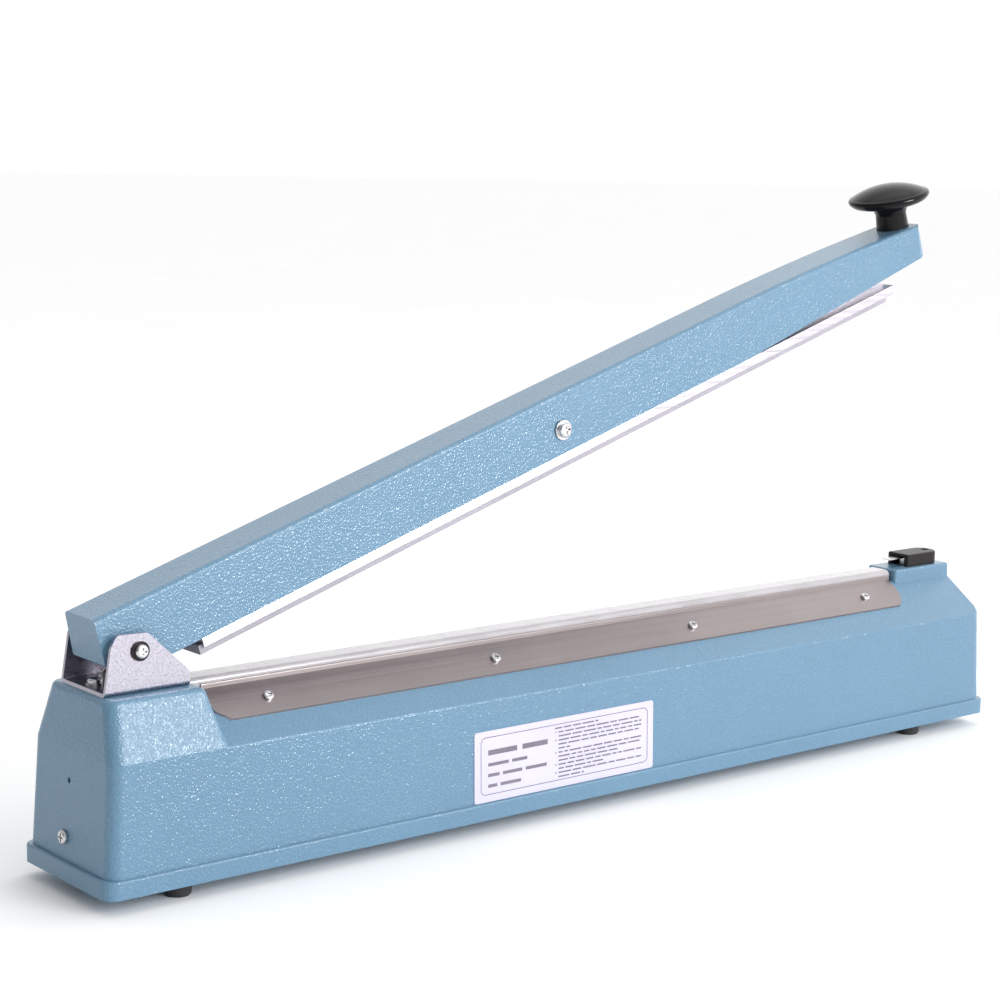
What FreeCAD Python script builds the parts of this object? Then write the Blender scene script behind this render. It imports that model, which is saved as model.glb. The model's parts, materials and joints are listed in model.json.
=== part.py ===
"""Impulse heat sealer with a 500 mm seal: pressed base, hinged arm, jaw and electrics.

Millimetres. X runs along the sealer from the hinge to the handle, the label side faces -Y and +Z is up.
The feet stand on Z = 0. The arm is built closed, along X, and is then swung open about its hinge pin.
"""

import FreeCAD, Part
import math
import os

# ---- driving dimensions -------------------------------------------------------------------------

TRAY_X = 320.0            # half length of the bottom tray
TRAY_Y = 43.0             # half width of the bottom tray
FOOT_H = 8.0
FOOT_RECESS = 4.5
TRAY_H = 9.4
TRAY_SHEET = 2.0
CORNER_R = 7.0
WALL = 2.6                # wall of the base housing

SILL_Z = FOOT_H + TRAY_H  # where the housing stands on the tray
SILL_X = 317.6
SILL_Y = 41.2
SHOULDER_Z = 73.0         # crease between the upright walls and the sloping ledge
SHOULDER_LEFT = -314.6
SHOULDER_RIGHT = 315.6
SHOULDER_Y = 39.7
RIDGE_Z = 94.1            # flat top of the ledge, under the seal bed
RIDGE_Y = 9.5
BLOCK_TOP_Z = 102.0       # hinge block
BLOCK_TOP_LEFT = -311.0
BLOCK_TOP_RIGHT = -257.0
BLOCK_TOP_Y = 29.7
BLOCK_FOOT_RIGHT = -249.5
BLOCK_INNER_R = 2.5       # the block's two corners towards the bed
POST_Z = 101.4            # switch post at the handle end
POST_LEFT = 263.6
POST_TOP_RIGHT = 314.5
POST_Y = 11.8

FEET = [(x, y) for x in (-273.0, 262.0) for y in (-29.0, 29.0)]
END_SCREW = (3.9, 28.8)   # y and z on the end walls
END_HOLE = (1.5, 57.6)
END_STANDOFF = 0.3        # a flat head clears the leaning wall by this much

PIVOT_X = -288.8
PIVOT_Z = 122.9
PIN_R = 3.0
OPEN_ANGLE = 17.8         # degrees from closed to the open stop

ARM_TAIL = -15.0          # arm lengths are measured from the pivot, heights from the pivot's level
ARM_END = 596.0
ARM_BEND = 430.0          # the arm's edges run straight to here and then taper
ARM_TOP = 21.7
ARM_TIP_TOP = 16.0
ARM_BOTTOM = -11.5
ARM_TIP_BOTTOM = -3.2
ARM_TOP_Y = 14.5
ARM_BOTTOM_Y = 16.3
ARM_SHEET = 2.0
ARM_NOSE_R = 14.0         # the far end is nearly a half round seen from above
ARM_CHIN_R = 6.0
ARM_RIM_R = 2.4
TAPER_RUN = ARM_END - 5.0 - ARM_BEND
TAPER_R = (TAPER_RUN ** 2 + (ARM_TOP - ARM_TIP_TOP) ** 2) / (2 * (ARM_TOP - ARM_TIP_TOP))

JAW_START = 37.6
JAW_END = 559.0
JAW_TOP = -12.2
JAW_BOTTOM = -17.6
JAW_Y = 14.0
JAW_GROOVE = 1.6
JAW_SCREW_S = 284.0
JAW_SCREW_T = 1.4
JAW_WASHER_OFF = 0.36     # the arm's side leans, so a washer touches it only along its lower rim
SILICONE_START = 35.4
SILICONE_END = 553.0
SILICONE_Y = 12.0
SILICONE_BOTTOM = -21.0
KNOB_S = 582.0
KNOB_R = 25.0
KNOB_H = 27.4
KNOB_NECK_R = 9.4
KNOB_BORE_R = 3.9
KNOB_BORE_H = 14.0
STUD_DOWN = 10.5          # the stud reaches this far under the arm's top

BED_LEFT = -253.4
BED_RIGHT = 262.5
BED_Y = 7.7
BED_TOP = 100.4
BED_ROUND = 2.6           # the bed's long top edges
HEATER_LENGTH = 500.0
CLOTH = 0.3
CLOTH_TOP = 101.3
TERMINAL_X = [-245.0, 256.0]
HEATER_MID = (TERMINAL_X[0] + TERMINAL_X[1]) / 2
BUSH_R = 3.2              # holes for the bushed terminals

PLATE_LEFT = -246.8
PLATE_RIGHT = 260.3
PLATE_FOOT_Y = 26.6
PLATE_LIP = 3.6
PLATE_END_R = 13.0
PLATE_SHEET = 1.0
PLATE_SCREWS = [-213.2, -65.9, 81.4, 228.7]
PLATE_SCREW_Y = 17.8

BRACKET_Y = 21.5
BRACKET_SHEET = 1.8
BRACKET_LEFT = -308.4
BRACKET_RIGHT = -260.4
BRACKET_FLOOR = BLOCK_TOP_Z + BRACKET_SHEET
BRACKET_SCREWS = [(-300.6, 1.5), (-267.0, -13.0), (-267.0, 13.0)]
WASHER_H = 0.8

SPRING_X = -270.5
SPRING_R = 5.2
SPRING_WIRE = 0.8
SPRING_TURNS = 5.5
BUMPER_X = -298.0
BUMPER_Y = -9.6
BUMPER_R = 4.0
SEAT_T = -5.6
SEAT_SHEET = 1.5

CAP_LEFT = 278.6
CAP_RIGHT = 309.6
CAP_Y = 8.6
CAP_TOP = 109.2
CAP_END_R = 8.0
CAP_SCREW_X = 304.0
LEVER_PIVOT_X = 296.0
LEVER_PIVOT_Z = 105.4
PLUNGER_X = 284.0
LEVER_TIP = 267.0
LEVER_TOP = 106.9
LEVER_SHEET = 0.8
HEEL_Z = 101.0
SWITCH_TOP = 98.0
SWITCH_FOOT = 82.1
SWITCH_Y = 5.1
SWITCH_SCREWS = [(275.0, 85.0), (297.0, 95.0)]
TAB_X = [276.0, 285.5, 295.0]

DIAL_X = 120.0
DIAL_Z = 46.0
DIAL_R = 13.0
LAMP_X = 165.0
FUSE_X = -200.0
INLET_X = -250.0
INLET_Z = 40.0
INLET_BORE_R = 3.6

LABEL_LEFT = -97.2
LABEL_RIGHT = 31.3
LABEL_Z = 17.7
LABEL_H = 38.9

FLOOR_TOP = FOOT_H + TRAY_SHEET
CORE_X = -125.0           # transformer
CORE_HALF_X = 43.0
CORE_HALF_Y = 20.0
CORE_H = 52.0
CORE_SPREAD = 57.0
CORE_EARS = [(CORE_X - CORE_SPREAD, 0.0), (CORE_X + CORE_SPREAD, 0.0)]
BOARD_X = 45.0
BOARD_T = 1.6
PILLAR_TOP = 22.0
BOARD_FEET = [(x, y) for x in (BOARD_X - 34, BOARD_X + 34) for y in (-18.0, 18.0)]
FLOOR_SCREWS = CORE_EARS + BOARD_FEET
LEAD_R = 1.3
LEAD_BEND = 8.0

M2_R = 1.2                # shank radii of the screws
M3_R = 1.5
M35_R = 1.75
M4_R = 2.0
M5_R = 2.5

MID_Y = 4.77              # the dial and its skirt stand behind the tray, so the box's middle is off the bed

GAP = 0.1                 # radial clearance of a screw in its hole
RUN = 0.05                # radial running clearance of a pin in its bore

LEAN = math.atan2(SILL_Y - SHOULDER_Y, SHOULDER_Z - SILL_Z)
LEDGE = math.atan2(RIDGE_Z - SHOULDER_Z, SHOULDER_Y - RIDGE_Y)


# ---- helpers --------------------------------------------------------------------------------------

def vec(x, y, z):
    return FreeCAD.Vector(x, y, z)


UP = vec(0, 0, 1)
DOWN = vec(0, 0, -1)
ALONG = vec(1, 0, 0)
BACK = vec(0, 1, 0)
FRONT = vec(0, -1, 0)


def box(x0, x1, y0, y1, z0, z1):
    return Part.makeBox(x1 - x0, y1 - y0, z1 - z0, vec(x0, y0, z0))


def rod(radius, start, axis, length):
    return Part.makeCylinder(radius, length, start, axis)


def ring(outer, inner, start, axis, length):
    return rod(outer, start, axis, length).cut(rod(inner, start, axis, length))


def prism(points, travel):
    wire = Part.makePolygon(points + [points[0]])
    return Part.Face(wire).extrude(travel)


def prism_x(yz, x0, x1):
    return prism([vec(x0, y, z) for y, z in yz], vec(x1 - x0, 0, 0))


def prism_y(xz, y0, y1):
    return prism([vec(x, y0, z) for x, z in xz], vec(0, y1 - y0, 0))


def rounded_wire(x0, x1, y0, y1, z, r, right_r=None):
    """A level rectangle with round corners; the two on the right may have their own radius."""
    q = right_r or r
    k = r * (1 - math.sqrt(0.5))
    m = q * (1 - math.sqrt(0.5))
    lines = [
        (vec(x0 + r, y0, z), vec(x1 - q, y0, z)),
        (vec(x1, y0 + q, z), vec(x1, y1 - q, z)),
        (vec(x1 - q, y1, z), vec(x0 + r, y1, z)),
        (vec(x0, y1 - r, z), vec(x0, y0 + r, z)),
    ]
    corners = [
        vec(x1 - m, y0 + m, z),
        vec(x1 - m, y1 - m, z),
        vec(x0 + k, y1 - k, z),
        vec(x0 + k, y0 + k, z),
    ]
    edges = []
    for i, (start, end) in enumerate(lines):
        following = lines[(i + 1) % 4][0]
        edges.append(Part.LineSegment(start, end).toShape())
        edges.append(Part.Arc(end, corners[i], following).toShape())
    return Part.Wire(edges)


def slab(x0, x1, y0, y1, z0, z1, r, right_r=None):
    face = Part.Face(rounded_wire(x0, x1, y0, y1, z0, r, right_r))
    return face.extrude(vec(0, 0, z1 - z0))


def frustum(low, z_low, high, z_high, r, right_r=None):
    """A tapering block between two level rounded rectangles, each given as x0, x1, y0, y1."""
    wires = [rounded_wire(*low, z_low, r, right_r), rounded_wire(*high, z_high, r, right_r)]
    return Part.makeLoft(wires, True, True)


def turned(profile):
    """A solid of revolution about Z from radius and height points."""
    face = Part.Face(Part.makePolygon([vec(r, 0, h) for r, h in profile + [profile[0]]]))
    return face.revolve(vec(0, 0, 0), UP, 360)


def place(shape, origin, axis):
    """The shape with its own +Z laid along the axis and its own origin at the given point."""
    moved = shape.copy()
    stand = FreeCAD.Placement(origin, FreeCAD.Rotation(UP, axis))
    moved.Placement = stand.multiply(shape.Placement)
    return moved


def edges_where(shape, test):
    return [edge for edge in shape.Edges if test(edge)]


def long_edges(z, above=True, reach=400):
    """A test for the edges along X that lie above, or below, a height."""
    def test(edge):
        return lies_along(edge, ALONG, reach) and (edge.CenterOfMass.z > z) == above
    return test


def soften(shape, radius, test):
    """Round the edges that pass the test."""
    return shape.makeFillet(radius, edges_where(shape, test))


def lies_along(edge, axis, length=0.0):
    """True for a straight edge longer than the given length that runs within 5 degrees of the axis."""
    if edge.Curve.TypeId != "Part::GeomLine" or edge.Length < length:
        return False
    return abs(edge.tangentAt(edge.FirstParameter).dot(axis)) > 0.996


def screw(head_r, head_h, shank_r, shank_l):
    """A pan-head screw with a cross recess: the head stands on Z = 0 and the shank points down."""
    head = rod(head_r, vec(0, 0, 0), UP, head_h)
    head = soften(head, 0.6 * head_h, lambda edge: edge.CenterOfMass.z > 0.9 * head_h)
    arm = 0.62 * head_r
    wing = 0.13 * head_r
    recess = box(-arm, arm, -wing, wing, 0.45 * head_h, head_h + 1)
    recess = recess.fuse(box(-wing, wing, -arm, arm, 0.45 * head_h, head_h + 1))
    shank = rod(shank_r, vec(0, 0, -shank_l), UP, shank_l)
    return head.cut(recess).fuse(shank).removeSplitter()


def hex_nut(across, height, bore):
    corner = across / math.sqrt(3)
    turns = [math.radians(60 * k) for k in range(6)]
    points = [vec(corner * math.cos(turn), corner * math.sin(turn), 0) for turn in turns]
    return prism(points, vec(0, 0, height)).cut(rod(bore, vec(0, 0, -1), UP, height + 2))


def wire_run(points, radius, bend):
    """A round lead through the points, with a tangent arc of the given radius at each turn."""
    edges = []
    here = points[0]
    for i in range(1, len(points) - 1):
        back = (points[i - 1] - points[i]).normalize()
        ahead = (points[i + 1] - points[i]).normalize()
        half = back.getAngle(ahead) / 2
        reach = bend / math.tan(half)
        middle = (back + ahead).normalize() * (bend / math.sin(half) - bend)
        enter = points[i] + back * reach
        leave = points[i] + ahead * reach
        edges.append(Part.LineSegment(here, enter).toShape())
        edges.append(Part.Arc(enter, points[i] + middle, leave).toShape())
        here = leave
    edges.append(Part.LineSegment(here, points[-1]).toShape())
    path = Part.Wire(edges)
    tangent = (points[1] - points[0]).normalize()
    ring_wire = Part.Wire(Part.makeCircle(radius, points[0], tangent))
    return path.makePipeShell([ring_wire], True, True)


def group(shapes):
    return Part.makeCompound(shapes)


# ---- base housing ---------------------------------------------------------------------------------

def base_form(g):
    """The outside of the housing, or with g above 0 the hollow that lies g inside it."""
    foot_z = SILL_Z - (1.0 if g else 0.0)
    low = (-SILL_X + g, SILL_X - g, -SILL_Y + g, SILL_Y - g)
    mid = (SHOULDER_LEFT + g, SHOULDER_RIGHT - g, -SHOULDER_Y + g, SHOULDER_Y - g)
    r = CORNER_R - g
    body = frustum(low, foot_z, mid, SHOULDER_Z, r)

    ledge_y = SHOULDER_Y - g
    ridge_z = RIDGE_Z - g
    ledge = [(-ledge_y, SHOULDER_Z), (-RIDGE_Y, ridge_z), (RIDGE_Y, ridge_z), (ledge_y, SHOULDER_Z)]
    ridge = prism_x(ledge, BLOCK_TOP_LEFT + 20, SHOULDER_RIGHT + 1)
    post = box(POST_LEFT + g, SHOULDER_RIGHT + 1, -POST_Y + g, POST_Y - g, SHOULDER_Z, POST_Z - g)
    end_line = [(SHOULDER_RIGHT - g, SHOULDER_Z), (POST_TOP_RIGHT - g, POST_Z), (POST_TOP_RIGHT - g, 120)]
    end = prism_y([(-200, SHOULDER_Z - 1)] + end_line + [(-200, 120)], -60, 60)
    corners = slab(*mid, SHOULDER_Z - 1, 120, r)
    upper = ridge.common(box(-200, 330, -60, 60, SHOULDER_Z, 120)).fuse(post).common(end).common(corners)
    left_ridge = prism_x(ledge, BLOCK_TOP_LEFT + 20, -200)
    upper = upper.fuse(left_ridge)

    block_low = (SHOULDER_LEFT + g, BLOCK_FOOT_RIGHT - g, -SHOULDER_Y + g, SHOULDER_Y - g)
    block_high = (BLOCK_TOP_LEFT + g, BLOCK_TOP_RIGHT - g, -BLOCK_TOP_Y + g, BLOCK_TOP_Y - g)
    block = frustum(block_low, SHOULDER_Z, block_high, BLOCK_TOP_Z - g, r, max(BLOCK_INNER_R - g, 0.5))
    return body.fuse(upper).fuse(block).removeSplitter()


def is_block_rim(edge):
    return abs(edge.CenterOfMass.z - BLOCK_TOP_Z) < 0.2


def is_block_foot(edge):
    """Where the hinge block's inner side meets the ledge."""
    middle = edge.CenterOfMass
    curved = edge.Curve.TypeId == "Part::GeomBSplineCurve"
    inside = abs(middle.y) < 30 and BLOCK_TOP_RIGHT - 1 < middle.x < 0
    return curved and inside and SHOULDER_Z + 1 < middle.z < BLOCK_TOP_Z - 1


def is_post_corner(edge):
    middle = edge.CenterOfMass
    foot_z = ledge_point(0, POST_Y).z
    upright = abs(abs(middle.y) - POST_Y) < 0.4 and abs(middle.z - (POST_Z + foot_z) / 2) < 0.4
    return upright and middle.x > POST_LEFT - 1 and edge.Length < 15


def is_post_rim(edge):
    return abs(edge.CenterOfMass.z - POST_Z) < 0.1 and edge.CenterOfMass.x > POST_LEFT - 1


def is_long_shoulder(edge):
    middle = edge.CenterOfMass
    return abs(middle.z - SHOULDER_Z) < 0.2 and abs(middle.y) > 39 and edge.Length > 500


def is_end_slope(edge):
    """The ledge's two edges on the end wall under the switch post."""
    middle = edge.CenterOfMass
    return middle.x > POST_TOP_RIGHT + 0.2 and SHOULDER_Z + 3 < middle.z < 90 and edge.Length > 15


def back_point(x, z, out=0.0):
    """A point on the leaning back wall, or the given distance outside it."""
    y = SILL_Y - (z - SILL_Z) * math.tan(LEAN)
    return vec(x, y, z) + back_normal() * out


def back_normal():
    return vec(0, math.cos(LEAN), math.sin(LEAN))


def ledge_point(x, y, out=0.0):
    """A point on the sloping ledge, on the front where y is negative, or the given distance above it."""
    z = SHOULDER_Z + (SHOULDER_Y - abs(y)) * math.tan(LEDGE)
    side = math.copysign(1, y)
    return vec(x, y, z) + ledge_normal(side) * out


def ledge_normal(side):
    return vec(0, side * math.sin(LEDGE), math.cos(LEDGE))


def housing_holes():
    """Everything that is drilled or slotted in the housing."""
    holes = []
    for x in PLATE_SCREWS:
        for side in (-1, 1):
            start = ledge_point(x, side * PLATE_SCREW_Y, -10)
            holes.append(rod(M3_R + GAP, start, ledge_normal(side), 20))
    for x, y in BRACKET_SCREWS:
        holes.append(rod(M4_R + GAP, vec(x, y, 90), UP, 20))
    holes.append(rod(M35_R + GAP, vec(-330, END_SCREW[0], END_SCREW[1]), ALONG, 30))
    holes.append(rod(1.5, vec(-330, END_HOLE[0], END_HOLE[1]), ALONG, 30))
    holes.append(rod(M35_R + GAP, vec(300, END_SCREW[0], END_SCREW[1]), ALONG, 30))
    holes.append(rod(4.0, back_point(DIAL_X, DIAL_Z, -10), back_normal(), 20))
    holes.append(rod(4.0 + GAP, back_point(LAMP_X, DIAL_Z, -10), back_normal(), 20))
    holes.append(rod(6.0 + GAP, back_point(FUSE_X, INLET_Z, -10), back_normal(), 20))
    holes.append(rod(6.0 + GAP, back_point(INLET_X, INLET_Z, -10), back_normal(), 20))
    holes.append(rod(M2_R + GAP, vec(CAP_SCREW_X, 0, 90), UP, 20))
    holes.append(box(PLUNGER_X - 3, PLUNGER_X + 3, -3.4, 3.4, 95, 110))
    for x in TERMINAL_X:
        holes.append(rod(BUSH_R, vec(x, 0, 85), UP, 20))
    return holes


def base_housing():
    form = base_form(0.0)
    form = soften(form, 2.0, is_post_corner)
    form = soften(form, 1.5, is_post_rim)
    form = soften(form, 2.0, is_block_foot)
    form = soften(form, 3.0, is_block_rim)
    form = soften(form, 2.0, is_long_shoulder)
    form = soften(form, 1.5, is_end_slope)
    shell = form.cut(base_form(WALL))
    return shell.cut(group(housing_holes()))


def bottom_tray():
    """A folded steel tray whose rim turns inwards to carry the housing."""
    outer = slab(-TRAY_X, TRAY_X, -TRAY_Y, TRAY_Y, FOOT_H, SILL_Z, CORNER_R)
    outer = soften(outer, 1.2, lambda edge: abs(edge.CenterOfMass.z - SILL_Z) < 0.1)
    t = TRAY_SHEET
    hollow = slab(-TRAY_X + t, TRAY_X - t, -TRAY_Y + t, TRAY_Y - t, FOOT_H + t, SILL_Z - t, CORNER_R - t)
    lip = 6.0
    mouth = slab(-TRAY_X + lip, TRAY_X - lip, -TRAY_Y + lip, TRAY_Y - lip, SILL_Z - t - 1, SILL_Z + 1, 2.0)
    tray = outer.cut(hollow).cut(mouth)
    holes = [rod(M4_R + GAP, vec(x, y, 0), UP, 30) for x, y in FEET]
    holes += [rod(M3_R + GAP, vec(x, y, 0), UP, 30) for x, y in FLOOR_SCREWS]
    return tray.cut(group(holes))


def rubber_feet():
    """Four moulded feet, each with a recess that hides its screw."""
    outside = [(7.5, FOOT_H), (7.5, FOOT_H - 2), (6.6, 0.5), (6.1, 0)]
    recess = [(4.4, 0), (4.4, FOOT_RECESS), (M4_R + GAP, FOOT_RECESS), (M4_R + GAP, FOOT_H)]
    foot = turned(outside + recess)
    return group([foot.translated(vec(x, y, 0)) for x, y in FEET])


def foot_screws():
    shape = screw(4.0, 2.2, M4_R, 9.0)
    return group([place(shape, vec(x, y, FOOT_RECESS), DOWN) for x, y in FEET])


def end_screws():
    """One screw in each leaning end wall, standing a little off it."""
    shape = screw(3.6, 2.0, M35_R, 8.0)
    y, z = END_SCREW
    run = (z - SILL_Z) / (SHOULDER_Z - SILL_Z)
    left = -SILL_X + run * (SHOULDER_LEFT + SILL_X)
    right = SILL_X + run * (SHOULDER_RIGHT - SILL_X)
    at_left = place(shape, vec(left - END_STANDOFF, y, z), vec(-1, 0, 0))
    at_right = place(shape, vec(right + END_STANDOFF, y, z), ALONG)
    return group([at_left, at_right])


# ---- seal bed -------------------------------------------------------------------------------------

def seal_bed():
    """The aluminium bar that backs the heating band, drilled for its two leads."""
    bar = box(BED_LEFT, BED_RIGHT, -BED_Y, BED_Y, RIDGE_Z, BED_TOP)
    bar = soften(bar, BED_ROUND, long_edges(BED_TOP - 0.1))
    holes = [rod(BUSH_R, vec(x, 0, RIDGE_Z - 1), UP, 20) for x in TERMINAL_X]
    return bar.cut(group(holes))


def bed_insulator():
    half = HEATER_LENGTH / 2 - 2
    return box(HEATER_MID - half, HEATER_MID + half, -3.5, 3.5, BED_TOP, BED_TOP + 0.3)


def heating_element():
    """A flat alloy band over the insulator, turned down to its lead at each end."""
    half = HEATER_LENGTH / 2 - 1
    z = BED_TOP + 0.3
    return box(HEATER_MID - half, HEATER_MID + half, -1.5, 1.5, z, z + 0.25)


def ptfe_cloth():
    """The coated glass cloth stretched over the bed and down both of its sides."""
    top = CLOTH_TOP
    outer = box(BED_LEFT + 1, BED_RIGHT - 1, -BED_Y - CLOTH, BED_Y + CLOTH, RIDGE_Z + 0.1, top)
    outer = soften(outer, BED_ROUND, long_edges(top - 0.1))
    inner = box(BED_LEFT, BED_RIGHT, -BED_Y, BED_Y, RIDGE_Z - 1, top - CLOTH)
    inner = soften(inner, BED_ROUND - CLOTH, long_edges(BED_TOP))
    return outer.cut(inner)


def clamp_plate(side):
    """A stainless strip on the ledge, with a lip that holds the cloth against the bed."""
    foot = ledge_point(0, PLATE_FOOT_Y)
    bend = ledge_point(0, BED_Y + CLOTH + PLATE_SHEET + 0.05)
    lift = PLATE_SHEET / math.cos(LEDGE)
    inner_y = bend.y - PLATE_SHEET
    lip_top = bend.z + PLATE_LIP
    outline = [
        (foot.y, foot.z),
        (bend.y, bend.z),
        (inner_y, bend.z + 0.5),
        (inner_y, lip_top),
        (bend.y, lip_top),
        (bend.y, bend.z + lift),
        (foot.y + 0.3, foot.z + lift - 0.2),
    ]
    plate = prism_x([(side * y, z) for y, z in outline], PLATE_LEFT, PLATE_RIGHT)
    plate = soften(plate, 0.45, long_edges(lip_top - 0.1))
    keep = slab(PLATE_LEFT - 40, PLATE_RIGHT, -PLATE_FOOT_Y - 1, PLATE_FOOT_Y + 1, 70, 120, PLATE_END_R)
    y_edge = side * (PLATE_FOOT_Y + 2)
    corner = [(PLATE_LEFT - 1, side * 20.6), (PLATE_LEFT - 1, y_edge), (PLATE_LEFT + 9.6, y_edge)]
    cut_off = prism([vec(x, y, 70) for x, y in corner], vec(0, 0, 40))
    holes = []
    for x in PLATE_SCREWS:
        start = ledge_point(x, side * PLATE_SCREW_Y, -5)
        holes.append(rod(M3_R + GAP, start, ledge_normal(side), 20))
    return plate.common(keep).cut(cut_off).cut(group(holes))


def plate_screws():
    shape = screw(2.9, 1.7, M3_R, 6.0)
    screws = []
    for side in (-1, 1):
        for x in PLATE_SCREWS:
            seat = ledge_point(x, side * PLATE_SCREW_Y, PLATE_SHEET + 0.06)
            screws.append(place(shape, seat, ledge_normal(side)))
    return group(screws)


def terminal_posts():
    """Brass posts that carry current to each end of the heating band, under the bed."""
    posts = []
    for x in TERMINAL_X:
        post = rod(1.6, vec(x, 0, 72.0), UP, BED_TOP - 72.0)
        block = box(x - 5, x + 5, -5, 5, 76.0, 84.0)
        posts.append(post.fuse(block).removeSplitter())
    return group(posts)


def terminal_sleeves():
    """Insulating bushes around the posts where they pass through the housing and the bed."""
    height = BED_TOP - 1.0 - 87.0
    return group([ring(3.0, 1.7, vec(x, 0, 87.0), UP, height) for x in TERMINAL_X])


# ---- hinge bracket --------------------------------------------------------------------------------

def cheek_outline():
    """The side plate: a corner over the pivot and a long slope towards the jaw."""
    top_left = vec(-301.4, 0, 131.9)
    return [
        vec(BRACKET_LEFT, 0, BLOCK_TOP_Z),
        vec(-304.6, 0, 126.4),
        top_left,
        vec(-284.4, 0, 131.5),
        vec(-260.9, 0, 109.6),
        vec(BRACKET_RIGHT, 0, BLOCK_TOP_Z),
    ]


def is_cheek_corner(edge):
    return lies_along(edge, BACK, 40) and edge.CenterOfMass.z > BRACKET_FLOOR


def hinge_bracket():
    """A folded channel screwed to the hinge block, with a cheek on each side of the arm."""
    plate = prism(cheek_outline(), vec(0, 2 * BRACKET_Y, 0)).translated(vec(0, -BRACKET_Y, 0))
    plate = soften(plate, 3.0, is_cheek_corner)
    plate = soften(plate, BRACKET_SHEET + 0.8, long_edges(BLOCK_TOP_Z + 0.1, False, 40))
    inner_y = BRACKET_Y - BRACKET_SHEET
    inside = box(-330, -240, -inner_y, inner_y, BRACKET_FLOOR, 150)
    inside = soften(inside, 0.8, long_edges(BRACKET_FLOOR + 0.1, False, 40))
    channel = plate.cut(inside)
    holes = [rod(PIN_R + GAP, vec(PIVOT_X, -30, PIVOT_Z), BACK, 60)]
    holes += [rod(M4_R + GAP, vec(x, y, 95), UP, 20) for x, y in BRACKET_SCREWS]
    return channel.cut(group(holes))


def bracket_washers():
    return group([ring(4.6, M4_R + GAP, vec(x, y, BRACKET_FLOOR), UP, WASHER_H) for x, y in BRACKET_SCREWS])


def bracket_screws():
    shape = screw(3.8, 2.2, M4_R, 9.0)
    return group([place(shape, vec(x, y, BRACKET_FLOOR + WASHER_H), UP) for x, y in BRACKET_SCREWS])


def hinge_pin():
    """The steel rod through both cheeks and the arm, tapped at each end."""
    half = BRACKET_Y + 0.2
    pin = rod(PIN_R, vec(PIVOT_X, -half, PIVOT_Z), BACK, 2 * half)
    front = rod(1.7, vec(PIVOT_X, -half, PIVOT_Z), BACK, 9)
    rear = rod(1.7, vec(PIVOT_X, half - 9, PIVOT_Z), BACK, 9)
    return pin.cut(front).cut(rear)


def hinge_washers():
    at = BRACKET_Y + 0.2
    front = ring(4.9, 1.8, vec(PIVOT_X, -at - 0.8, PIVOT_Z), BACK, 0.8)
    rear = ring(4.9, 1.8, vec(PIVOT_X, at, PIVOT_Z), BACK, 0.8)
    return group([front, rear])


def hinge_screws():
    shape = screw(3.5, 2.3, 1.65, 8.0)
    at = BRACKET_Y + 1.0
    front = place(shape, vec(PIVOT_X, -at, PIVOT_Z), FRONT)
    rear = place(shape, vec(PIVOT_X, at, PIVOT_Z), BACK)
    return group([front, rear])


def hinge_spacers():
    """Nylon rings that keep the arm in the middle of the bracket."""
    inner = ARM_BOTTOM_Y + 0.35
    outer = BRACKET_Y - BRACKET_SHEET
    front = ring(5.0, PIN_R + RUN, vec(PIVOT_X, -outer, PIVOT_Z), BACK, outer - inner)
    rear = ring(5.0, PIN_R + RUN, vec(PIVOT_X, inner, PIVOT_Z), BACK, outer - inner)
    return group([front, rear])


def arm_underside_z(x, t):
    """Height of a line at height t in the arm, above the given place, with the arm open."""
    tilt = math.radians(OPEN_ANGLE)
    s = (x - PIVOT_X + t * math.sin(tilt)) / math.cos(tilt)
    return PIVOT_Z + s * math.sin(tilt) + t * math.cos(tilt)


def return_spring():
    """The coil that lifts the arm, standing on the bracket's floor under a seat in the arm."""
    low = BRACKET_FLOOR + SPRING_WIRE + 0.05
    high = arm_underside_z(SPRING_X - SPRING_R - SPRING_WIRE, SEAT_T) - SPRING_WIRE - 0.1
    pitch = (high - low) / SPRING_TURNS
    helix = Part.makeHelix(pitch, high - low, SPRING_R)
    section = Part.Wire(Part.makeCircle(SPRING_WIRE, vec(SPRING_R, 0, 0), BACK))
    coil = Part.Wire(helix.Edges).makePipeShell([section], True, True)
    return coil.translated(vec(SPRING_X, 0, low))


def stop_bumper():
    """The rubber stop that the tail of the arm comes down on when it is open."""
    top = arm_underside_z(BUMPER_X - BUMPER_R, SEAT_T) - 0.35
    r = BUMPER_R
    profile = [(0, BRACKET_FLOOR), (r, BRACKET_FLOOR), (r, top - 0.8), (r - 0.8, top), (0, top)]
    return turned(profile).translated(vec(BUMPER_X, BUMPER_Y, 0))


# ---- arm, built closed ----------------------------------------------------------------------------

def arm_x(s):
    return PIVOT_X + s


def arm_z(t):
    return PIVOT_Z + t


def taper_drop(s):
    """How far the arm's top has curved down at the distance s from the pivot."""
    return TAPER_R - math.sqrt(TAPER_R ** 2 - (s - ARM_BEND) ** 2)


def opened(shape):
    """Swing a piece built with the arm closed to the open position."""
    return shape.rotated(vec(PIVOT_X, 0, PIVOT_Z), BACK, -OPEN_ANGLE)


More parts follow.
